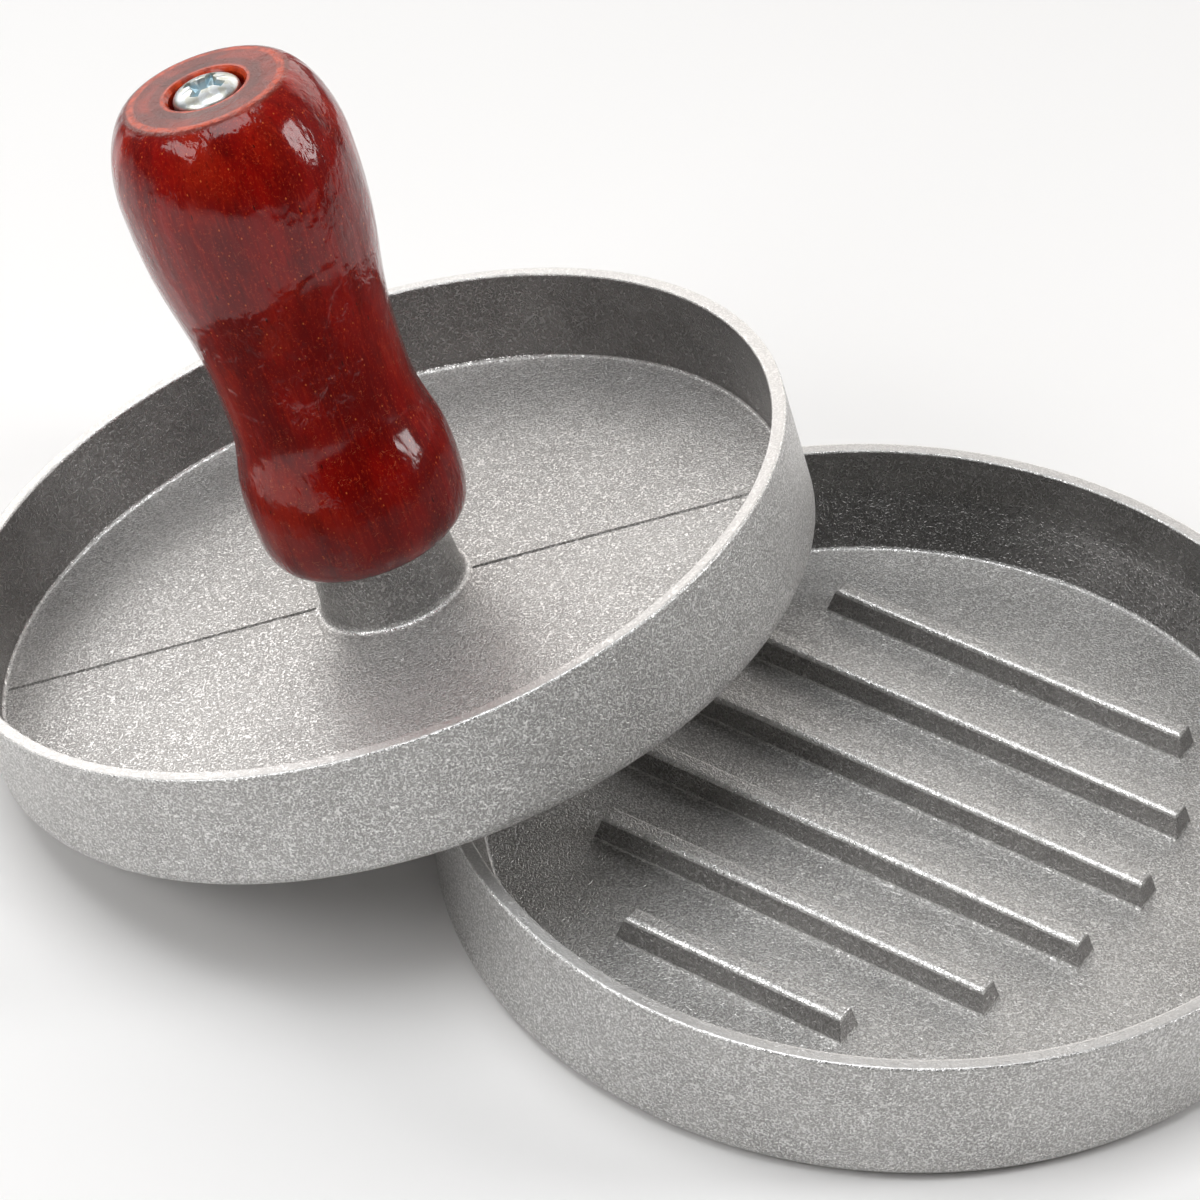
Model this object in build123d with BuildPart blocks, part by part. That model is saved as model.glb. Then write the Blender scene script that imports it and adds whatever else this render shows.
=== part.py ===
from build123d import *
from math import cos, radians, sin, sqrt, tan
import os

# Round burger press, in millimetres: a cast mould with grill ribs stands on the table, and
# the cast press plate with its turned wooden handle leans on the mould's rim.
# The origin is the centre of the mould's underside, +Z is up and the ribs run along X.

# Mould
mould_radius = 60.0
mould_height = 20.0
mould_rim_width = 2.0
mould_foot_radius = 59.4
mould_floor_thickness = 6.5
mould_floor_radius = 53.0
bore_depth = 5.5
bore_draft = 1.5
bore_knee_radius = 8.0

# Ribs on the mould's floor
rib_count = 6
rib_pitch = 14.0
rib_row_shift = -3.3
rib_ends_shift = 2.4
rib_width = 4.2
rib_height = 3.5
rib_draft = 14.0
rib_half_length = 36.3
rib_end_margin = 1.0
rib_rounding = 0.6

# Press plate
nesting_clearance = 0.7
press_height = 18.0
press_rim_width = 2.0
press_draft = 0.3
press_floor_thickness = 4.6
press_inner_draft = 0.5
boss_height = 9.5
boss_foot_radius = 9.9
boss_top_radius = 9.2
boss_flare = 1.0
parting_groove_width = 0.7
parting_groove_depth = 0.35
parting_groove_angle = 24.0

# Edges that both castings share
foot_rounding = 2.5
rim_edge_rounding = 0.4
floor_corner_rounding = 0.6

# Handle
handle_length = 67.5
handle_foot_radius = 10.4
bulb_radius = 14.3
bulb_height = 8.5
waist_radius = 12.3
waist_height = 23.5
head_radius = 15.2
head_height = 55.5
handle_top_radius = 9.8
counterbore_depth = 2.3
counterbore_chamfer = 0.5

# Machine screw that holds the handle on the boss
screw_radius = 2.45
screw_length = 75.0
screw_tip_chamfer = 0.6
screw_head_radius = 4.4
screw_head_height = 3.2
screw_head_side = 1.5
recess_span = 4.9
recess_slot = 1.1
recess_depth = 1.9
recess_draft = 10.0

# Clearances round the screw
thread_clearance = 0.05
handle_bore_clearance = 0.3
counterbore_clearance = 0.6
hole_bottom_clearance = 2.3

# How the press leans: its foot touches the table and its underside lies on the rim
lean_tilt = 18.5
lean_direction = 192.0
lean_gap = 0.3

press_radius = mould_radius - mould_rim_width - nesting_clearance
press_foot_radius = press_radius - press_draft
press_floor_radius = press_radius - press_rim_width - press_inner_draft
boss_top = press_floor_thickness + boss_height

# The rounded edge of the foot touches the table, which gives the foot centre's height.
# The underside passes just over the rim's outer corner, which gives its distance.
foot_flat_radius = press_foot_radius - foot_rounding
foot_centre_height = foot_flat_radius * sin(radians(lean_tilt)) + foot_rounding * (
    1 - cos(radians(lean_tilt))
)
rim_contact_height = mould_height + lean_gap
foot_centre_distance = mould_radius + (rim_contact_height - foot_centre_height) / tan(
    radians(lean_tilt)
)

lean_frame = Plane(
    origin=(
        foot_centre_distance * cos(radians(lean_direction)),
        foot_centre_distance * sin(radians(lean_direction)),
        foot_centre_height,
    ),
    x_dir=(
        cos(radians(lean_tilt)) * cos(radians(lean_direction)),
        cos(radians(lean_tilt)) * sin(radians(lean_direction)),
        -sin(radians(lean_tilt)),
    ),
    z_dir=(
        sin(radians(lean_tilt)) * cos(radians(lean_direction)),
        sin(radians(lean_tilt)) * sin(radians(lean_direction)),
        cos(radians(lean_tilt)),
    ),
)
press_axis = Axis(lean_frame.origin, lean_frame.z_dir)

# Section planes through the press axis: x is the radius and y the height
press_section = Plane(
    origin=lean_frame.origin, x_dir=lean_frame.x_dir, z_dir=-lean_frame.y_dir
)
handle_section = Plane(
    origin=lean_frame.offset(boss_top).origin,
    x_dir=lean_frame.x_dir,
    z_dir=-lean_frame.y_dir,
)
screw_seat = boss_top + handle_length - counterbore_depth
screw_section = Plane(
    origin=lean_frame.offset(screw_seat).origin,
    x_dir=lean_frame.x_dir,
    z_dir=-lean_frame.y_dir,
)


def rib_half(row):
    """Half length of the rib at this distance from the middle, shorter towards the wall."""
    end_arc = mould_floor_radius - rib_end_margin
    row_on_arc = row - rib_ends_shift
    if abs(row_on_arc) >= end_arc:
        return 0.0
    return rib_half_length - end_arc + sqrt(end_arc**2 - row_on_arc**2)


os.makedirs("parts", exist_ok=True)

# Mould: a turned section with a straight bore for the press, then ribs across its floor
knee_radius = mould_radius - mould_rim_width - bore_depth * tan(radians(bore_draft))
with BuildPart() as mould:
    with BuildSketch(Plane.XZ):
        with BuildLine():
            wall = FilletPolyline(
                (0, 0),
                (mould_foot_radius, 0),
                (mould_radius, mould_height),
                (mould_radius - mould_rim_width, mould_height),
                (knee_radius, mould_height - bore_depth),
                (mould_floor_radius, mould_floor_thickness),
                (0, mould_floor_thickness),
                radius=[
                    foot_rounding,
                    rim_edge_rounding,
                    rim_edge_rounding,
                    bore_knee_radius,
                    floor_corner_rounding,
                ],
            )
            Line(wall @ 1, wall @ 0)
        make_face()
    revolve(axis=Axis.Z)
    rib_rows = [
        (index - (rib_count - 1) / 2) * rib_pitch + rib_row_shift
        for index in range(rib_count)
    ]
    for row in rib_rows:
        half = rib_half(row)
        if half > rib_width:
            with BuildSketch(Plane.XY.offset(mould_floor_thickness)):
                with Locations((0, row)):
                    Rectangle(2 * half, rib_width)
            extrude(amount=rib_height, taper=rib_draft)
    rib_tops = faces().filter_by(
        lambda face: abs(face.center().Z - mould_floor_thickness - rib_height) < 1e-3
    )
    fillet(rib_tops.edges(), rib_rounding)
mould.part.label = "mould"
export_step(mould.part, "parts/mould.step")

# Press plate: a second dish with a boss, which is tapped for the handle's screw
screw_engagement = screw_length - handle_length + counterbore_depth
groove_start = boss_foot_radius + boss_flare
groove_length = press_floor_radius - floor_corner_rounding - groove_start
with BuildPart() as press_plate:
    with BuildSketch(press_section):
        with BuildLine():
            wall = FilletPolyline(
                (0, 0),
                (press_foot_radius, 0),
                (press_radius, press_height),
                (press_radius - press_rim_width, press_height),
                (press_floor_radius, press_floor_thickness),
                (boss_foot_radius, press_floor_thickness),
                (boss_top_radius, boss_top),
                (0, boss_top),
                radius=[
                    foot_rounding,
                    rim_edge_rounding,
                    rim_edge_rounding,
                    floor_corner_rounding,
                    boss_flare,
                    rim_edge_rounding,
                ],
            )
            Line(wall @ 1, wall @ 0)
        make_face()
    revolve(axis=press_axis)
    with Locations(lean_frame.offset(boss_top)):
        Hole(screw_radius + thread_clearance, screw_engagement + hole_bottom_clearance)
    with BuildSketch(lean_frame.offset(press_floor_thickness)):
        with PolarLocations(
            groove_start + groove_length / 2, 2, start_angle=parting_groove_angle
        ):
            Rectangle(groove_length, parting_groove_width)
    extrude(amount=-parting_groove_depth, mode=Mode.SUBTRACT)
press_plate.part.label = "press_plate"
export_step(press_plate.part, "parts/press_plate.step")

# Handle: turned wood that swells at its foot and its head, bored through for the screw
bulb_sweep = (waist_height - bulb_height) / 2
head_sweep = (head_height - waist_height) / 2
with BuildPart() as handle:
    with BuildSketch(handle_section):
        with BuildLine():
            foot = Line((0, 0), (handle_foot_radius, 0))
            Bezier(
                foot @ 1,
                (bulb_radius, 0),
                (bulb_radius, bulb_height / 2),
                (bulb_radius, bulb_height),
            )
            Bezier(
                (bulb_radius, bulb_height),
                (bulb_radius, bulb_height + bulb_sweep),
                (waist_radius, waist_height - bulb_sweep),
                (waist_radius, waist_height),
            )
            Bezier(
                (waist_radius, waist_height),
                (waist_radius, waist_height + head_sweep),
                (head_radius, head_height - head_sweep),
                (head_radius, head_height),
            )
            crown = Bezier(
                (head_radius, head_height),
                (head_radius, (head_height + handle_length) / 2),
                ((head_radius + handle_top_radius) / 2, handle_length),
                (handle_top_radius, handle_length),
            )
            top = Line(crown @ 1, (0, handle_length))
            Line(top @ 1, foot @ 0)
        make_face()
    revolve(axis=press_axis)
    with Locations(lean_frame.offset(boss_top + handle_length)):
        CounterBoreHole(
            screw_radius + handle_bore_clearance,
            screw_head_radius + counterbore_clearance,
            counterbore_depth,
        )
    counterbore_mouth = edges(Select.LAST).filter_by(GeomType.CIRCLE)
    chamfer(counterbore_mouth.sort_by(press_axis)[-1], counterbore_chamfer)
handle.part.label = "handle"
export_step(handle.part, "parts/handle.step")

# Machine screw: pan head with a cross recess, seated on the counterbore's floor
with BuildPart() as handle_screw:
    with BuildSketch(screw_section):
        with BuildLine():
            shank = Polyline(
                (0, screw_head_height),
                (0, -screw_length),
                (screw_radius - screw_tip_chamfer, -screw_length),
                (screw_radius, screw_tip_chamfer - screw_length),
                (screw_radius, 0),
                (screw_head_radius, 0),
                (screw_head_radius, screw_head_side),
            )
            dome_height = screw_head_height - screw_head_side
            EllipticalCenterArc(
                (0, screw_head_side),
                screw_head_radius,
                dome_height,
                start_angle=0,
                arc_size=90,
            )
        make_face()
    revolve(axis=press_axis)
    with BuildSketch(lean_frame.offset(screw_seat + screw_head_height)):
        Rectangle(recess_span, recess_slot)
        Rectangle(recess_slot, recess_span)
    extrude(amount=-recess_depth, taper=recess_draft, mode=Mode.SUBTRACT)
handle_screw.part.label = "handle_screw"
export_step(handle_screw.part, "parts/handle_screw.step")
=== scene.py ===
import bpy
import bmesh
from collections import namedtuple
from math import cos, hypot, pi, radians, sin, sqrt, tan
from mathutils import Matrix, Vector


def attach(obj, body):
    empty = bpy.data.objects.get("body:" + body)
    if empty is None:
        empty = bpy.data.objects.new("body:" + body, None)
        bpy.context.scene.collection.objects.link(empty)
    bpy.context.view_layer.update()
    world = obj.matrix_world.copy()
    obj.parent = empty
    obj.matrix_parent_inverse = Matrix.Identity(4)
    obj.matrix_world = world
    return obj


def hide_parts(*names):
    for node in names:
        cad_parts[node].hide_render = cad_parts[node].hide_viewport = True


# Burger press in its finishes: blasted cast aluminium, red lacquered wood and zinc plate.
# Sizes are in millimetres unless a name says otherwise, and the scene is in metres.

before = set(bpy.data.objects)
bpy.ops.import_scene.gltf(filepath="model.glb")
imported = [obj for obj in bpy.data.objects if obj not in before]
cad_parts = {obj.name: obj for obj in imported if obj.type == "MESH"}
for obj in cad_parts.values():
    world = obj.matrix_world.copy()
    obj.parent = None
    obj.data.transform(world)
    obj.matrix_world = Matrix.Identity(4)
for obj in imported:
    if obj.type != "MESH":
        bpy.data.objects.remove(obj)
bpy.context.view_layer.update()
MM = 0.001

# The two castings, each in its own frame with Z along its axis
RIM_WIDTH = 2.0
Casting = namedtuple("Casting", "outer_radius rim_height floor_height floor_radius boss_radius")
MOULD = Casting(
    outer_radius=60.0, rim_height=20.0, floor_height=6.5, floor_radius=53.0, boss_radius=0.0
)
PRESS = Casting(
    outer_radius=57.3, rim_height=18.0, floor_height=4.6, floor_radius=54.8, boss_radius=9.9
)

# Ribs on the mould's floor
RIB_COUNT = 6
RIB_PITCH = 14.0
RIB_ROW_SHIFT = -3.3
RIB_TOP_HALF_WIDTH = 1.23
RIB_FOOT_HALF_WIDTH = 2.1
RIB_HEIGHT = 3.5
RIB_TOP = MOULD.floor_height + RIB_HEIGHT

# How the press leans on the mould, as in the part
PRESS_FOOT_RADIUS = 57.0
FOOT_ROUNDING = 2.5
LEAN_TILT = radians(18.5)
LEAN_DIRECTION = radians(192.0)
LEAN_GAP = 0.3

# Handle and its screw
BOSS_HEIGHT = 9.5
BOSS_TOP = PRESS.floor_height + BOSS_HEIGHT
HANDLE_LENGTH = 67.5
HANDLE_TOP_RADIUS = 9.8
HANDLE_HEAD_HEIGHT = 55.5
COUNTERBORE_DEPTH = 2.3
COUNTERBORE_RADIUS = 5.0
SCREW_RADIUS = 2.45
SCREW_LENGTH = 75.0
SCREW_TIP_CHAMFER = 0.6
SHANK_INTO_HEAD = 0.4
THREAD_PITCH = 0.8
THREAD_LENGTH = 22.0
THREAD_DEPTH = 0.42
SCREW_HEAD_RADIUS = 4.4
SCREW_HEAD_HEIGHT = 3.2
SCREW_HEAD_SIDE = 1.5
SCREW_HEAD_EDGE = 0.15
RECESS_REACH = 2.8
RECESS_HALF_WIDTH = 0.55
RECESS_WELL_RADIUS = 1.45
RECESS_DEPTH = 1.8
TICK_HALF_WIDTH = 0.08
TICK_REACH = 3.0
TICK_DEPTH = 0.08

# Camera, fitted to the outlines in the photograph
CAMERA_PLACE = (196.9, -385.5, 407.1)
CAMERA_HEADING = radians(32.15)
CAMERA_PITCH = radians(40.33)
CAMERA_ROLL = radians(1.34)
CAMERA_LENS = 135.0
CAMERA_SENSOR = 36.0

# Cast metal's tones and grain
SKIN_TONES = (0.355, 0.347, 0.338, 1), (0.425, 0.416, 0.405, 1)
CREST_TONE = (0.76, 0.75, 0.738, 1)
# The near-white tone below paints glints on the grain's sparks
SPARK_GLINT_TONE = (0.97, 0.96, 0.945, 1)
# The two darker tones below paint shade on the inner walls, the boss and the rib sides
SHADED_SMOOTH_TONES = (0.18, 0.173, 0.166, 1), (0.24, 0.232, 0.224, 1)
SHADED_SMOOTH_CREST_TONE = (0.42, 0.41, 0.4, 1)
# The lighter tone below is a painted highlight on the rim's flat top
FACED_LIT_TONE = (0.7, 0.694, 0.685, 1)
# The pale tone below is for rubbed wear and painted edge highlights
WORN_HIGHLIGHT_TONE = (0.9, 0.893, 0.88, 1)
GRAIN_SIZE = 0.47
GRAIN_DEPTH = 0.07

# Lacquered wood's tones and relief
BAND_REDS = (0.14, 0.0006, 0.0003, 1), (0.25, 0.002, 0.0006, 1)
CLOUD_RED = (0.055, 0.0004, 0.0003, 1)
GLOW_RED = (0.38, 0.015, 0.003, 1)
FIBRE_RED = (0.36, 0.017, 0.004, 1)
FIBRE_GAP_RED = (0.07, 0.001, 0.0006, 1)
DUST_RED = (0.5, 0.04, 0.009, 1)
FLECK_ORANGE = (0.62, 0.12, 0.03, 1)
PORE_BLACK = (0.02, 0.0008, 0.0008, 1)
SCRATCH_PINK = (0.62, 0.14, 0.06, 1)
TOP_REDS = (0.15, 0.011, 0.004, 1), (0.29, 0.02, 0.005, 1)
END_GRAIN_RED = (0.36, 0.05, 0.02, 1)
HOLLOW_BROWN = (0.07, 0.012, 0.009, 1)
RING_ORANGE = (0.6, 0.062, 0.012, 1)
SCRATCHED_HEIGHT = 24.0
SCRATCHES_FADE = 12.0
LACQUER_DEPTH = 0.1
FIBRE_DEPTH = 0.05

# Zinc plate's tones and relief
ZINC_TONES = (0.72, 0.76, 0.78, 1), (0.56, 0.565, 0.5, 1)
ZINC_SPARKLE = (0.85, 0.86, 0.86, 1)
RECESS_BLUE = (0.54, 0.67, 0.73, 1)
ZINC_DEPTH = 0.02

# Ends of a mask's band that takes in the axis, or all that lies above
FROM_AXIS = -1.0
FAR_UP = 40.0

# Studio
FLOOR_SIZE_M = 6.0
FLOOR_WHITE = (0.915, 0.907, 0.899, 1)
PAPER_WHITE = (0.948, 0.948, 0.948, 1)
ROOM_WARM = (1.0, 0.96, 0.925, 1)
LAMP_COOL = (0.985, 1.0, 1.015)

AHEAD = Vector((-sin(CAMERA_HEADING), cos(CAMERA_HEADING), 0))
RIGHT = Vector((cos(CAMERA_HEADING), sin(CAMERA_HEADING), 0))


def lean_matrix():
    """Millimetre frame of the leaning press: the foot's centre, with Z along the handle."""
    flat = PRESS_FOOT_RADIUS - FOOT_ROUNDING
    centre_height = flat * sin(LEAN_TILT) + FOOT_ROUNDING * (1 - cos(LEAN_TILT))
    rise = MOULD.rim_height + LEAN_GAP - centre_height
    reach = MOULD.outer_radius + rise / tan(LEAN_TILT)
    away = Vector((cos(LEAN_DIRECTION), sin(LEAN_DIRECTION), 0))
    up = Vector((0, 0, 1))
    downhill = away * cos(LEAN_TILT) - up * sin(LEAN_TILT)
    axis = away * sin(LEAN_TILT) + up * cos(LEAN_TILT)
    turn = Matrix((downhill, axis.cross(downhill), axis)).transposed().to_4x4()
    return Matrix.Translation(away * reach + up * centre_height) @ turn


LEAN = lean_matrix()
HANDLE_FOOT = LEAN @ Matrix.Translation((0, 0, BOSS_TOP))
SCREW_SEAT = HANDLE_FOOT @ Matrix.Translation((0, 0, HANDLE_LENGTH - COUNTERBORE_DEPTH))


# Node helpers

def place(tree, kind, sockets=None, **settings):
    """Adds a node, sets its options, and gives each named socket a value or a link."""
    node = tree.nodes.new(kind)
    for name, value in settings.items():
        setattr(node, name, value)
    for name, value in (sockets or {}).items():
        if isinstance(value, bpy.types.NodeSocket):
            tree.links.new(value, node.inputs[name])
        else:
            node.inputs[name].default_value = value
    return node


def maths(tree, operation, first, second=0.5):
    """One step of arithmetic on two values or links."""
    return place(tree, "ShaderNodeMath", {0: first, 1: second}, operation=operation).outputs[0]


def times(tree, *values):
    """All the values multiplied."""
    product = values[0]
    for value in values[1:]:
        product = maths(tree, "MULTIPLY", product, value)
    return product


def either(tree, *masks):
    """The strongest of the masks at each point."""
    most = masks[0]
    for mask in masks[1:]:
        most = maths(tree, "MAXIMUM", most, mask)
    return most


def ease(tree, value, start, end, low=0.0, high=1.0):
    """Goes smoothly from low to high while the value goes from start to end."""
    sockets = {"Value": value, "From Min": start, "From Max": end, "To Min": low, "To Max": high}
    node = place(tree, "ShaderNodeMapRange", sockets, interpolation_type="SMOOTHSTEP")
    return node.outputs["Result"]


def noise(tree, vector, scale, detail=2.0, roughness=0.5, distortion=0.0):
    """Soft noise round a half, with its scale in waves per unit of the vector."""
    sockets = {
        "Vector": vector,
        "Scale": scale,
        "Detail": detail,
        "Roughness": roughness,
        "Distortion": distortion,
    }
    return place(tree, "ShaderNodeTexNoise", sockets).outputs["Fac"]


def blend(tree, factor, first, second):
    """Goes from the first colour to the second as the factor goes from nought to one."""
    node = place(tree, "ShaderNodeMix", data_type="RGBA")
    for index, value in ((0, factor), (6, first), (7, second)):
        if isinstance(value, bpy.types.NodeSocket):
            tree.links.new(value, node.inputs[index])
        else:
            node.inputs[index].default_value = value
    return node.outputs[2]


def make_group(name, inputs, outputs):
    """Starts a node group. Inputs are (name, socket kind, value), outputs (name, kind)."""
    tree = bpy.data.node_groups.new(name, "ShaderNodeTree")
    for label, kind, value in inputs:
        socket = tree.interface.new_socket(label, in_out="INPUT", socket_type=kind)
        if value is not None:
            socket.default_value = value
    for label, kind in outputs:
        tree.interface.new_socket(label, in_out="OUTPUT", socket_type=kind)
    return tree, tree.nodes.new("NodeGroupInput"), tree.nodes.new("NodeGroupOutput")


def use_group(tree, group, sockets):
    """Puts a node group in a tree and gives its outputs."""
    return place(tree, "ShaderNodeGroup", sockets, node_tree=group).outputs


FLOAT, VECTOR = "NodeSocketFloat", "NodeSocketVector"


def make_turned_place():
    """Group: a point's radius from the turning axis and its height along it."""
    tree, given, result = make_group(
        "turned_place", [("Point", VECTOR, None)], [("Radius", FLOAT), ("Height", FLOAT)]
    )
    parts = place(tree, "ShaderNodeSeparateXYZ", {0: given.outputs["Point"]}).outputs
    across = place(tree, "ShaderNodeCombineXYZ", {0: parts[0], 1: parts[1]}).outputs[0]
    radius = place(tree, "ShaderNodeVectorMath", {0: across}, operation="LENGTH")
    tree.links.new(radius.outputs["Value"], result.inputs["Radius"])
    tree.links.new(parts[2], result.inputs["Height"])
    return tree


def make_soft_band():
    """Group: one between Low and High, falling to nought over Softness on both sides."""
    tree, given, result = make_group(
        "soft_band",
        [
            ("Value", FLOAT, 0.0),
            ("Low", FLOAT, 0.0),
            ("High", FLOAT, 1.0),
            ("Softness", FLOAT, 0.1),
        ],
        [("Mask", FLOAT)],
    )
    value, low, high, soft = (given.outputs[k] for k in ("Value", "Low", "High", "Softness"))
    rise = ease(tree, value, maths(tree, "SUBTRACT", low, soft), low)
    fall = ease(tree, value, high, maths(tree, "ADD", high, soft), 1.0, 0.0)
    tree.links.new(times(tree, rise, fall), result.inputs["Mask"])
    return tree


def make_cast_grain():
    """Group: a sand casting's blasted skin, short curled crests and sparks on soft clouds."""
    tree, given, result = make_group(
        "cast_grain",
        [("Point", VECTOR, None), ("Grain Size", FLOAT, 0.5)],
        [("Height", FLOAT), ("Crests", FLOAT), ("Sparks", FLOAT), ("Clouds", FLOAT)],
    )
    point = given.outputs["Point"]
    per_size = maths(tree, "DIVIDE", 1.0, given.outputs["Grain Size"])

    def curls(finer):
        """Short thick curls: the middle line of one noise, cut up by another."""
        field = noise(tree, point, times(tree, per_size, finer), 0.0, 0.5, 0.35)
        off_line = maths(tree, "ABSOLUTE", maths(tree, "SUBTRACT", field, 0.5))
        line = ease(tree, off_line, 0.03, 0.175, 1.0, 0.0)
        cut = noise(tree, point, times(tree, per_size, 1.5 * finer), 0.0)
        return times(tree, line, ease(tree, cut, 0.34, 0.52))

    crests = either(tree, curls(1.0), times(tree, curls(1.6), 0.5))
    dots = noise(tree, point, times(tree, per_size, 1.7), 0.0)
    sparks = ease(tree, dots, 0.7, 0.76)
    waves = noise(tree, point, times(tree, per_size, 0.3), 2.0)
    height = maths(tree, "ADD", either(tree, crests, sparks), times(tree, waves, 0.6))
    clouds = noise(tree, point, 0.12, 4.0, 0.6)
    masks = {"Height": height, "Crests": crests, "Sparks": sparks, "Clouds": clouds}
    for name, mask in masks.items():
        tree.links.new(mask, result.inputs[name])
    return tree


TURNED_PLACE = make_turned_place()
SOFT_BAND = make_soft_band()
CAST_GRAIN = make_cast_grain()


def band(tree, value, low, high, softness):
    """Mask of the values between low and high, with soft ends."""
    sockets = {"Value": value, "Low": low, "High": high, "Softness": softness}
    return use_group(tree, SOFT_BAND, sockets)["Mask"]


def zone(tree, turned, radii, heights, softness):
    """Mask of a turned stretch between two radii and two heights."""
    return times(
        tree,
        band(tree, turned["Radius"], *radii, softness),
        band(tree, turned["Height"], *heights, softness),
    )


def start_material(name):
    """A new material with its Principled shader joined to the surface output."""
    material = bpy.data.materials.new(name)
    material.use_nodes = True
    tree = material.node_tree
    tree.nodes.clear()
    shader = tree.nodes.new("ShaderNodeBsdfPrincipled")
    output = tree.nodes.new("ShaderNodeOutputMaterial")
    tree.links.new(shader.outputs[0], output.inputs["Surface"])
    return material, tree, shader


def millimetre_point(tree, matrix):
    """The surface point in millimetres, in the frame that the matrix gives."""
    raw = tree.nodes.new("ShaderNodeTexCoord").outputs["Object"]
    scaled = place(tree, "ShaderNodeVectorMath", {0: raw, "Scale": 1 / MM}, operation="SCALE")
    sockets = {
        "Vector": scaled.outputs[0],
        "Location": matrix.to_translation(),
        "Rotation": matrix.to_euler("XYZ"),
    }
    return place(tree, "ShaderNodeMapping", sockets, vector_type="TEXTURE").outputs[0]


def bumps(tree, relief, depth, strength=1.0, under=None):
    """The surface's normal after a relief with this depth, in millimetres."""
    sockets = {"Height": relief, "Distance": depth * MM, "Strength": strength}
    if under:
        sockets["Normal"] = under
    return place(tree, "ShaderNodeBump", sockets).outputs[0]


def smooth_shaded_walls(tree, turned, casting):
    """Mask of the walls that the blasting hardly reached, which are smoother and also darkened
    with painted shade: inside the dish and up the boss.
    """
    inside = casting.outer_radius - RIM_WIDTH
    wall = zone(
        tree, turned,
        (casting.floor_radius, inside + 0.1),
        (casting.floor_height + 0.5, casting.rim_height - 0.35),
        0.25,
    )
    if not casting.boss_radius:
        return wall
    boss = zone(
        tree, turned, (FROM_AXIS, casting.boss_radius), (casting.floor_height + 1.2, FAR_UP), 0.6
    )
    return either(tree, wall, times(tree, boss, 0.5))


def worn_highlit_edges(tree, turned, casting):
    """Mask of what is pale on the edges: rubbed wear and painted highlights on the rim's edges,
    the floor's corner and the boss's foot.
    """
    inside = casting.outer_radius - RIM_WIDTH
    rim = casting.rim_height
    floor = casting.floor_height
    outer = zone(
        tree, turned,
        (casting.outer_radius - 0.2, casting.outer_radius + 0.5), (rim - 0.24, rim + 0.5), 0.08,
    )
    inner = zone(tree, turned, (inside - 0.5, inside + 0.22), (rim - 0.22, rim + 0.5), 0.12)
    corner = zone(
        tree, turned, (casting.floor_radius - 1.0, inside), (floor + 0.1, floor + 0.32), 0.08
    )
    edges = either(
        tree, times(tree, outer, 0.75), times(tree, inner, 0.4), times(tree, corner, 0.35)
    )
    if casting.boss_radius:
        foot = zone(
            tree, turned, (0.0, casting.boss_radius + 2.0), (floor + 0.08, floor + 0.34), 0.08
        )
        edges = either(tree, edges, times(tree, foot, 0.8))
    return edges


def rim_top(tree, turned, casting):
    """Mask of the rim's flat top, which was machined flat and is smoother than the cast skin;
    its lighter tone is a painted highlight.
    """
    radii = (casting.outer_radius - RIM_WIDTH + 0.25, casting.outer_radius - 0.25)
    return zone(tree, turned, radii, (casting.rim_height - 0.08, casting.rim_height + 0.5), 0.1)


def highlit_rib_lines(tree, point, turned):
    """Mask of the ribs' edge lines, painted highlights with some rubbed wear: the front one, its
    foot and, fainter, the back one.
    """
    first_row = RIB_ROW_SHIFT - (RIB_COUNT - 1) / 2 * RIB_PITCH
    row = place(tree, "ShaderNodeSeparateXYZ", {0: point}).outputs[1]
    across = place(tree, "ShaderNodeMath", {
        0: maths(tree, "SUBTRACT", row, first_row), 1: RIB_PITCH / 2, 2: -RIB_PITCH / 2,
    }, operation="WRAP").outputs[0]
    floor = MOULD.floor_height
    on_floor = band(tree, turned["Radius"], FROM_AXIS, MOULD.floor_radius - 1.5, 0.3)
    front = times(
        tree,
        band(tree, across, -RIB_TOP_HALF_WIDTH - 0.1, 0.4 - RIB_TOP_HALF_WIDTH, 0.25),
        band(tree, turned["Height"], RIB_TOP - 0.5, RIB_TOP + 0.1, 0.12),
    )
    foot = times(
        tree,
        band(tree, across, -RIB_FOOT_HALF_WIDTH - 0.1, 0.1 - RIB_FOOT_HALF_WIDTH, 0.05),
        band(tree, turned["Height"], floor + 0.06, floor + 0.24, 0.04),
    )
    back = times(
        tree,
        band(tree, across, RIB_TOP_HALF_WIDTH - 0.3, RIB_TOP_HALF_WIDTH - 0.12, 0.08),
        band(tree, turned["Height"], RIB_TOP - 0.3, RIB_TOP + 0.1, 0.1),
    )
    front_lines = times(tree, either(tree, front, foot), 0.75)
    return times(tree, on_floor, either(tree, front_lines, times(tree, back, 0.4)))


def shaded_rib_sides(tree, turned):
    """Mask of the ribs' steep sides, which the blasting reached less than their tops and which
    take painted shade.
    """
    heights = (MOULD.floor_height + 0.5, RIB_TOP - 0.6)
    return zone(tree, turned, (FROM_AXIS, MOULD.floor_radius - 1.5), heights, 0.3)


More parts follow.
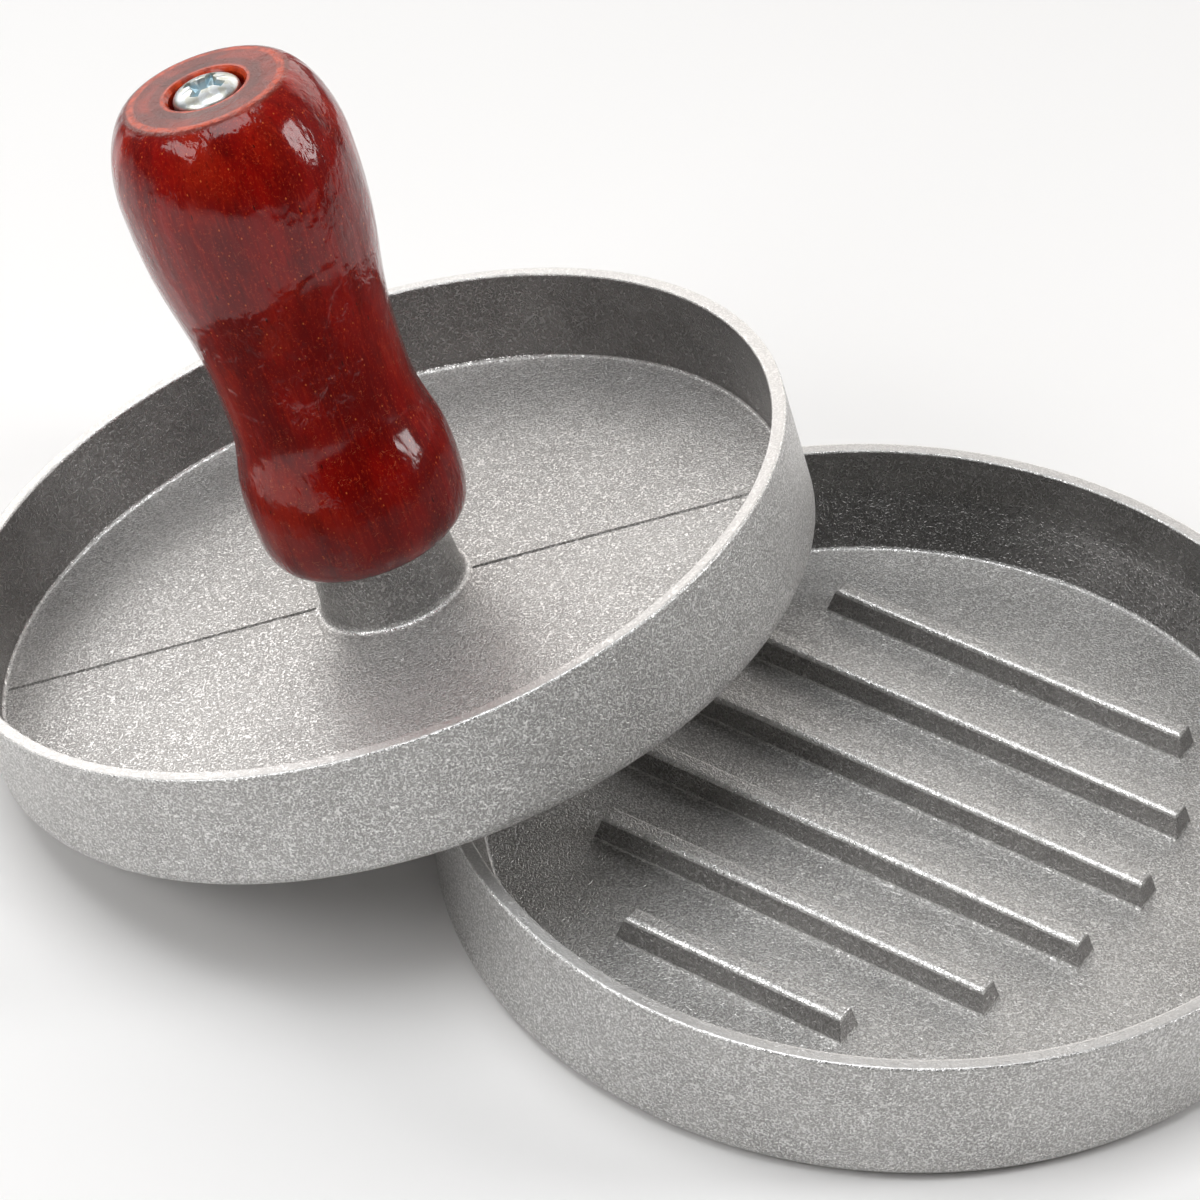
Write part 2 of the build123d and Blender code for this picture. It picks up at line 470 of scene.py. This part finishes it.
def cast_aluminium(name, matrix, casting, has_ribs=False):
    """Blasted cast aluminium: grey with bright curled grain and painted glints, darker and
    smoother inner walls where the darkness is painted shade, and painted highlights on the rim
    and edges.
    """
    material, tree, shader = start_material(name)
    point = millimetre_point(tree, matrix)
    turned = use_group(tree, TURNED_PLACE, {"Point": point})
    grain = use_group(tree, CAST_GRAIN, {"Point": point, "Grain Size": GRAIN_SIZE})
    crests, clouds = grain["Crests"], grain["Clouds"]
    faced_and_lit = rim_top(tree, turned, casting)
    # This mask makes walls smoother and, through its darker tones, also paints shade on them
    smooth = smooth_shaded_walls(tree, turned, casting)
    worn_and_highlit = worn_highlit_edges(tree, turned, casting)
    if has_ribs:
        worn_and_highlit = either(tree, worn_and_highlit, highlit_rib_lines(tree, point, turned))
        # The rib sides get the same painted shade as the inner walls
        smooth = either(tree, smooth, times(tree, shaded_rib_sides(tree, turned), 0.7))
    chips = noise(tree, point, 1.3, 3.0, 0.65)
    worn_and_highlit = times(tree, worn_and_highlit, ease(tree, chips, 0.36, 0.56, 0.5, 1.0))

    rough_tone = blend(tree, ease(tree, clouds, 0.3, 0.7), *SKIN_TONES)
    rough_tone = blend(tree, crests, rough_tone, CREST_TONE)
    # Painted glints: the sparks take a near-white tone
    rough_tone = blend(tree, grain["Sparks"], rough_tone, SPARK_GLINT_TONE)
    # Painted shade: inner walls, boss and rib sides take darker tones
    shaded_smooth_tone = blend(tree, ease(tree, clouds, 0.35, 0.65), *SHADED_SMOOTH_TONES)
    shaded_smooth_tone = blend(tree, times(tree, crests, 0.55), shaded_smooth_tone, SHADED_SMOOTH_CREST_TONE)
    skin = blend(tree, smooth, rough_tone, shaded_smooth_tone)
    # Painted highlight: the rim's flat top takes a lighter tone
    skin = blend(tree, times(tree, faced_and_lit, 0.7), skin, FACED_LIT_TONE)
    # Painted highlights with rubbed wear: rim edges, floor corner, boss foot and rib lines turn
    # pale
    skin = blend(tree, worn_and_highlit, skin, WORN_HIGHLIGHT_TONE)
    tree.links.new(skin, shader.inputs["Base Color"])

    roughness = ease(tree, crests, 0.0, 1.0, 0.45, 0.3)
    polish = times(tree, either(tree, worn_and_highlit, smooth), 0.1)
    tree.links.new(maths(tree, "SUBTRACT", roughness, polish), shader.inputs["Roughness"])
    shader.inputs["Metallic"].default_value = 0.9

    calm = either(
        tree, times(tree, smooth, 0.45), times(tree, faced_and_lit, 0.7), times(tree, worn_and_highlit, 0.5)
    )
    relief = times(tree, grain["Height"], maths(tree, "SUBTRACT", 1.0, calm))
    tree.links.new(bumps(tree, relief, GRAIN_DEPTH), shader.inputs["Normal"])
    return material


def stretched(tree, point, across, length):
    """The point squeezed by two scales, so that a texture runs along the handle."""
    sockets = {0: point, 1: (across, across, length)}
    return place(tree, "ShaderNodeVectorMath", sockets, operation="MULTIPLY").outputs[0]


def scattered(tree, vector, share, size):
    """Small dots in some cells of a grid: the share of cells and the dots' size."""
    cells = place(tree, "ShaderNodeTexVoronoi", {"Vector": vector, "Scale": 1.0}).outputs
    lot = place(tree, "ShaderNodeSeparateColor", {0: cells["Color"]}).outputs[0]
    chosen = ease(tree, lot, 1 - share, 1 - share + 0.02)
    return times(tree, chosen, ease(tree, cells["Distance"], size / 2, size, 1.0, 0.0))


def wood_reds(tree, point, height, fibres):
    """The turned side's reds: broad bands, clouds and fibres, with dust, flecks and pores."""
    bands = noise(tree, stretched(tree, point, 0.22, 0.02), 1.0, 3.0, 0.6, 0.4)
    clouds = noise(tree, point, 0.13, 3.0, 0.55)
    glow = noise(tree, stretched(tree, point, 0.09, 0.05), 1.0, 3.0, 0.5, 0.3)
    dust = noise(tree, stretched(tree, point, 3.6, 2.4), 1.0, 2.0, 0.6)
    flecks = scattered(tree, stretched(tree, point, 1.5, 1.0), 0.2, 0.2)
    pores = scattered(tree, stretched(tree, point, 1.1, 0.3), 0.12, 0.17)
    lines = noise(tree, point, 0.85, 1.0, 0.5, 1.2)
    off_line = maths(tree, "ABSOLUTE", maths(tree, "SUBTRACT", lines, 0.5))
    scratches = times(
        tree,
        ease(tree, off_line, 0.0, 0.012, 1.0, 0.0),
        ease(tree, noise(tree, point, 0.55, 2.0), 0.52, 0.6),
        ease(tree, height, SCRATCHED_HEIGHT, SCRATCHED_HEIGHT + SCRATCHES_FADE, 0.6, 0.2),
    )

    red = blend(tree, ease(tree, bands, 0.32, 0.68), *BAND_REDS)
    red = blend(tree, ease(tree, clouds, 0.46, 0.7, 0.0, 0.35), red, CLOUD_RED)
    red = blend(tree, ease(tree, glow, 0.52, 0.72, 0.0, 0.55), red, GLOW_RED)
    red = blend(tree, ease(tree, fibres, 0.52, 0.74, 0.0, 0.55), red, FIBRE_RED)
    red = blend(tree, ease(tree, fibres, 0.46, 0.3, 0.0, 0.45), red, FIBRE_GAP_RED)
    red = blend(tree, ease(tree, dust, 0.56, 0.74, 0.0, 0.6), red, DUST_RED)
    red = blend(tree, times(tree, flecks, 0.8), red, FLECK_ORANGE)
    red = blend(tree, times(tree, pores, 0.8), red, PORE_BLACK)
    return blend(tree, scratches, red, SCRATCH_PINK)


def top_reds(tree, point, radius, end_grain):
    """The flat top's reds: clouded end grain, browner in a shallow ring round the screw."""
    end_clouds = noise(tree, point, 0.16, 2.0, 0.5)
    red = blend(tree, ease(tree, end_clouds, 0.38, 0.62), *TOP_REDS)
    red = blend(tree, ease(tree, end_grain, 0.52, 0.75, 0.0, 0.5), red, END_GRAIN_RED)
    hollow = band(tree, radius, COUNTERBORE_RADIUS + 1.2, COUNTERBORE_RADIUS + 1.9, 0.9)
    return blend(tree, times(tree, hollow, 0.55), red, HOLLOW_BROWN)


def pale_rings(tree, point, radius, height):
    """Mask of the two rubbed rings on top: along its outer edge and round the counterbore."""
    near_top = ease(tree, height, HANDLE_LENGTH - 1.3, HANDLE_LENGTH - 0.6)
    wear = ease(tree, noise(tree, point, 0.8, 3.0, 0.65), 0.36, 0.6, 0.3, 1.0)
    outer = band(tree, radius, HANDLE_TOP_RADIUS - 0.25, HANDLE_TOP_RADIUS + 0.3, 0.4)
    inner = band(tree, radius, COUNTERBORE_RADIUS + 0.05, COUNTERBORE_RADIUS + 0.7, 0.3)
    return times(tree, near_top, wear, either(tree, outer, inner))


def lacquer_relief(tree, point, on_top, end_grain):
    """Height of the lacquer: long runs, patches of peel, and end grain showing through."""
    runs = noise(tree, stretched(tree, point, 0.3, 0.09), 1.0, 1.0, 0.5)
    peel = noise(tree, stretched(tree, point, 0.95, 0.5), 1.0, 2.0, 0.45, 0.9)
    crinkled = ease(tree, noise(tree, point, 0.17, 2.0), 0.42, 0.6, 0.12, 1.0)
    side = maths(tree, "ADD", times(tree, runs, 2.6), times(tree, peel, crinkled, 1.05))
    return maths(tree, "ADD", side, times(tree, on_top, end_grain, 1.2))


def lacquered_wood():
    """Turned wood under deep red lacquer, with fibres along the handle and pale rings on top."""
    material, tree, shader = start_material("lacquered_wood")
    point = millimetre_point(tree, HANDLE_FOOT)
    radius = use_group(tree, TURNED_PLACE, {"Point": point})["Radius"]
    # The height also shapes the coat, so it comes from the point itself and not from a group
    height = place(tree, "ShaderNodeSeparateXYZ", {0: point}).outputs[2]
    fibres = noise(tree, stretched(tree, point, 2.6, 0.16), 1.0, 3.0, 0.62, 0.3)
    end_grain = noise(tree, point, 2.4, 3.0, 0.65)
    on_top = ease(tree, height, HANDLE_LENGTH - 0.5, HANDLE_LENGTH - 0.15)

    side_red = wood_reds(tree, point, height, fibres)
    red = blend(tree, on_top, side_red, top_reds(tree, point, radius, end_grain))
    rings = pale_rings(tree, point, radius, height)
    red = blend(tree, times(tree, rings, 0.85), red, RING_ORANGE)
    tree.links.new(red, shader.inputs["Base Color"])

    shader.inputs["Roughness"].default_value = 0.4
    shader.inputs["IOR"].default_value = 1.12
    shader.inputs["Coat Weight"].default_value = 1.0
    shader.inputs["Coat Roughness"].default_value = 0.1
    shader.inputs["Coat IOR"].default_value = 1.42
    lacquer = bumps(tree, lacquer_relief(tree, point, on_top, end_grain), LACQUER_DEPTH)
    tree.links.new(lacquer, shader.inputs["Coat Normal"])
    grain = bumps(tree, fibres, FIBRE_DEPTH, strength=0.5, under=lacquer)
    tree.links.new(grain, shader.inputs["Normal"])
    return material


def zinc_plate():
    """Bright zinc plate on steel, with dull olive patches and a bluer recess."""
    material, tree, shader = start_material("zinc_plate")
    point = millimetre_point(tree, SCREW_SEAT)
    turned = use_group(tree, TURNED_PLACE, {"Point": point})
    clouds = noise(tree, point, 0.7, 3.0, 0.6)
    fine = noise(tree, point, 5.0, 3.0, 0.6)
    tone = blend(tree, ease(tree, clouds, 0.4, 0.62), *ZINC_TONES)
    tone = blend(tree, ease(tree, fine, 0.6, 0.75, 0.0, 0.5), tone, ZINC_SPARKLE)
    recess = zone(tree, turned, (FROM_AXIS, RECESS_REACH), (0.5, SCREW_HEAD_SIDE + 0.9), 0.2)
    tone = blend(tree, recess, tone, RECESS_BLUE)
    tree.links.new(tone, shader.inputs["Base Color"])
    tree.links.new(ease(tree, fine, 0.3, 0.7, 0.3, 0.42), shader.inputs["Roughness"])
    shader.inputs["Metallic"].default_value = 1.0
    tree.links.new(bumps(tree, fine, ZINC_DEPTH, strength=0.6), shader.inputs["Normal"])
    return material


def paper_floor():
    """Pale floor. It keeps the shadow near the part and shows plain paper further out."""
    material, tree, shader = start_material("studio_floor")
    shader.inputs["Base Color"].default_value = FLOOR_WHITE
    shader.inputs["Roughness"].default_value = 0.9
    shader.inputs["Specular IOR Level"].default_value = 0.0
    point = tree.nodes.new("ShaderNodeTexCoord").outputs["Object"]
    distance = place(tree, "ShaderNodeVectorMath", {0: point}, operation="LENGTH")
    distance = distance.outputs["Value"]

    # The camera sees white paper further out, and reflections see it dimmed with distance
    ray = tree.nodes.new("ShaderNodeLightPath").outputs
    seen = either(tree, ray["Is Camera Ray"], ray["Is Glossy Ray"], ray["Is Transmission Ray"])
    unseen = maths(tree, "SUBTRACT", 1.0, ray["Is Camera Ray"])
    dimming = times(tree, unseen, ease(tree, distance, 0.26, 0.6, 0.0, 0.93))
    paper = place(tree, "ShaderNodeEmission", {
        "Color": PAPER_WHITE, "Strength": maths(tree, "SUBTRACT", 1.0, dimming),
    })
    far = times(tree, seen, ease(tree, distance, 0.2, 0.36))
    mixed = place(tree, "ShaderNodeMixShader", {
        0: far, 1: shader.outputs[0], 2: paper.outputs[0],
    })
    output = next(node for node in tree.nodes if node.type == "OUTPUT_MATERIAL")
    tree.links.new(mixed.outputs[0], output.inputs["Surface"])
    return material


def dress(node_name, material):
    """Gives a CAD node its material."""
    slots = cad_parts[node_name].data.materials
    slots.clear()
    slots.append(material)


# Screw

def within(value, half, softness=0.06):
    """One inside the half width, nought outside, with a steep side between them."""
    part = (half + softness - abs(value)) / (2 * softness)
    part = min(max(part, 0.0), 1.0)
    return part * part * (3 - 2 * part)


def recess_drop(x, y):
    """How deep the cross recess lies under the dome: four wings, a well and fine ticks."""
    radius = hypot(x, y)
    slope = 1 - 0.6 * radius / RECESS_REACH
    wings = max(
        within(y, RECESS_HALF_WIDTH) * within(x, RECESS_REACH),
        within(x, RECESS_HALF_WIDTH) * within(y, RECESS_REACH),
    )
    well = within(radius, RECESS_WELL_RADIUS, 0.4)
    diagonals = min(abs(x - y), abs(x + y)) / sqrt(2)
    ticks = within(diagonals, TICK_HALF_WIDTH, 0.05) * within(radius, TICK_REACH, 0.1)
    return max(wings * slope * RECESS_DEPTH, well * RECESS_DEPTH, ticks * TICK_DEPTH)


def dome_height(radius):
    """Height of the head's rounded top above its seat."""
    share = min(radius / SCREW_HEAD_RADIUS, 1.0)
    return SCREW_HEAD_SIDE + (SCREW_HEAD_HEIGHT - SCREW_HEAD_SIDE) * sqrt(1 - share * share)


def skin_rings(form, rings):
    """Joins rings of points into one closed skin, with a fan at either end."""
    rows = [[form.verts.new(point) for point in ring] for ring in rings]
    count = len(rows[0])
    for low, high in zip(rows, rows[1:]):
        for step in range(count):
            after = (step + 1) % count
            form.faces.new((low[step], low[after], high[after], high[step]))
    for row, flip in ((rows[0], True), (rows[-1], False)):
        centre = sum((vert.co for vert in row), Vector()) / count
        middle = form.verts.new(centre)
        for step in range(count):
            pair = (row[step], row[(step + 1) % count])
            form.faces.new((middle, *(reversed(pair) if flip else pair)))


def ring_at(radius, height, steps):
    """Points round a circle across the screw's axis."""
    return [
        (radius * cos(2 * pi * step / steps), radius * sin(2 * pi * step / steps), height)
        for step in range(steps)
    ]


def shank_rings(steps=40, rows_per_turn=8):
    """The shank from its tip up into the head, with a helical thread on its lower end."""
    rings = [ring_at(SCREW_RADIUS - SCREW_TIP_CHAMFER, -SCREW_LENGTH, steps)]
    rows = round(THREAD_LENGTH / THREAD_PITCH * rows_per_turn)
    for row in range(1, rows + 1):
        rise = row * THREAD_PITCH / rows_per_turn
        fade = min(rise / THREAD_PITCH, (THREAD_LENGTH - rise) / THREAD_PITCH, 1.0)
        chamfer = max(SCREW_TIP_CHAMFER - rise, 0.0)
        ring = []
        for step in range(steps):
            turn = step / steps
            groove = abs(2 * ((rise / THREAD_PITCH - turn) % 1.0) - 1)
            radius = SCREW_RADIUS - max(chamfer, THREAD_DEPTH * groove * fade)
            ring.append((
                radius * cos(2 * pi * turn), radius * sin(2 * pi * turn), rise - SCREW_LENGTH
            ))
        rings.append(ring)
    rings.append(ring_at(SCREW_RADIUS, SHANK_INTO_HEAD, steps))
    return rings


def head_rings(steps=160):
    """The pan head from its flat seat over the dome into the cross recess."""
    rings = [
        ring_at(SCREW_RADIUS - 0.3, 0.0, steps),
        ring_at(SCREW_HEAD_RADIUS - SCREW_HEAD_EDGE, 0.0, steps),
        ring_at(SCREW_HEAD_RADIUS, SCREW_HEAD_EDGE, steps),
        ring_at(SCREW_HEAD_RADIUS, SCREW_HEAD_SIDE, steps),
    ]
    outer_rows = 14
    for row in range(1, outer_rows + 1):
        angle = pi / 2 * row / outer_rows
        radius = SCREW_HEAD_RADIUS * cos(angle)
        if radius > TICK_REACH + 0.2:
            rings.append(ring_at(radius, dome_height(radius), steps))
    inner_rows = 60
    for row in range(inner_rows):
        radius = (TICK_REACH + 0.15) * (1 - row / inner_rows)
        rings.append([
            (x, y, dome_height(radius) - recess_drop(x, y))
            for x, y, _ in ring_at(radius, 0.0, steps)
        ])
    return rings


def make_screw():
    """Pan-head machine screw with its cross recess and thread, in the handle's counterbore."""
    form = bmesh.new()
    skin_rings(form, shank_rings())
    skin_rings(form, head_rings())
    bmesh.ops.recalc_face_normals(form, faces=form.faces)
    form.transform(Matrix.Scale(MM, 4) @ SCREW_SEAT)
    for face in form.faces:
        face.smooth = True
    mesh = bpy.data.meshes.new("pan_head_screw")
    form.to_mesh(mesh)
    form.free()
    screw = bpy.data.objects.new("pan_head_screw", mesh)
    bpy.context.scene.collection.objects.link(screw)
    mesh.set_sharp_from_angle(angle=radians(40))
    mesh.materials.append(zinc_plate())
    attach(screw, "press")
    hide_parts("handle_screw")


dress("mould", cast_aluminium("cast_mould", Matrix.Identity(4), MOULD, has_ribs=True))
dress("press_plate", cast_aluminium("cast_press", LEAN, PRESS))
dress("handle", lacquered_wood())
make_screw()


# Floor, lamps, world and camera

def make_floor():
    """Wide level floor under the mould."""
    mesh = bpy.data.meshes.new("studio_floor")
    form = bmesh.new()
    bmesh.ops.create_grid(form, x_segments=2, y_segments=2, size=FLOOR_SIZE_M)
    form.to_mesh(mesh)
    form.free()
    floor = bpy.data.objects.new("studio_floor", mesh)
    bpy.context.scene.collection.objects.link(floor)
    floor.data.materials.append(paper_floor())


def around(azimuth, elevation):
    """Direction to a lamp: azimuth from straight ahead towards the right, then elevation."""
    azimuth, elevation = radians(azimuth), radians(elevation)
    level = AHEAD * cos(azimuth) + RIGHT * sin(azimuth)
    return level * cos(elevation) + Vector((0, 0, sin(elevation)))


def soft_lamp(name, aim_m, way, distance_m, size_m, radiance, tint=(1, 1, 1)):
    """Rectangular lamp at a distance from its aim, with its brightness given as radiance."""
    light = bpy.data.lights.new(name, "AREA")
    light.shape = "RECTANGLE"
    light.size, light.size_y = size_m
    light.energy = radiance * pi * size_m[0] * size_m[1]
    light.color = tint
    lamp = bpy.data.objects.new(name, light)
    lamp.location = Vector(aim_m) + way * distance_m
    lamp.rotation_euler = (-way).to_track_quat("-Z", "Y").to_euler()
    bpy.context.scene.collection.objects.link(lamp)


def studio_air():
    """World light: a pale backdrop low behind the part, darker on the camera's side."""
    world = bpy.data.worlds.new("studio_air")
    bpy.context.scene.world = world
    world.use_nodes = True
    tree = world.node_tree
    tree.nodes.clear()
    way = tree.nodes.new("ShaderNodeTexCoord").outputs["Generated"]
    facing = place(tree, "ShaderNodeVectorMath", {0: way, 1: AHEAD}, operation="DOT_PRODUCT")
    facing = facing.outputs["Value"]
    rise = place(tree, "ShaderNodeSeparateXYZ", {0: way}).outputs[2]
    room_light = ease(tree, facing, -0.4, 0.5, 0.05, 0.18)
    backdrop = times(
        tree, ease(tree, facing, 0.4, 0.8, 0.0, 1.6), ease(tree, rise, 0.44, 0.76, 1.0, 0.0)
    )
    room = place(tree, "ShaderNodeBackground", {
        "Color": ROOM_WARM, "Strength": maths(tree, "ADD", room_light, backdrop),
    })
    paper = place(tree, "ShaderNodeBackground", {"Color": PAPER_WHITE})
    ray = tree.nodes.new("ShaderNodeLightPath").outputs
    shown = place(tree, "ShaderNodeMixShader", {
        0: ray["Is Camera Ray"], 1: room.outputs[0], 2: paper.outputs[0],
    })
    output = tree.nodes.new("ShaderNodeOutputWorld")
    tree.links.new(shown.outputs[0], output.inputs["Surface"])


def make_camera():
    """Camera at the photograph's angle: a heading, a pitch down and a small roll."""
    ahead = AHEAD * cos(CAMERA_PITCH) - RIGHT.cross(AHEAD) * sin(CAMERA_PITCH)
    above = RIGHT.cross(ahead)
    right = RIGHT * cos(CAMERA_ROLL) + above * sin(CAMERA_ROLL)
    above = right.cross(ahead)
    turn = Matrix((right, above, -ahead)).transposed().to_4x4()
    data = bpy.data.cameras.new("camera")
    data.lens = CAMERA_LENS
    data.sensor_width = CAMERA_SENSOR
    data.clip_start, data.clip_end = 0.02, 20.0
    camera = bpy.data.objects.new("camera", data)
    camera.matrix_world = Matrix.Translation(Vector(CAMERA_PLACE) * MM) @ turn
    bpy.context.scene.collection.objects.link(camera)
    bpy.context.scene.camera = camera


# What the lamps aim at, in metres
HANDLE_HEAD = HANDLE_FOOT @ Vector((0, 0, HANDLE_HEAD_HEIGHT)) * MM
PRESS_MIDDLE = LEAN.to_translation() * MM
BETWEEN_DISHES = (-0.03, 0, 0)

make_floor()
studio_air()
soft_lamp(
    "overhead", BETWEEN_DISHES, around(-115, 82),
    distance_m=0.95, size_m=(0.6, 0.6), radiance=4.35, tint=LAMP_COOL,
)
soft_lamp(
    "left_softbox", PRESS_MIDDLE, around(-45, 26),
    distance_m=0.62, size_m=(0.44, 0.34), radiance=0.9, tint=LAMP_COOL,
)
soft_lamp(
    "left_window", HANDLE_HEAD, around(-122, 36),
    distance_m=0.8, size_m=(0.6, 0.27), radiance=5.0,
)
soft_lamp(
    "right_window", HANDLE_HEAD, around(92, 21),
    distance_m=0.8, size_m=(0.16, 0.44), radiance=9.0,
)
make_camera()

view = bpy.context.scene.view_settings
view.view_transform = "Standard"
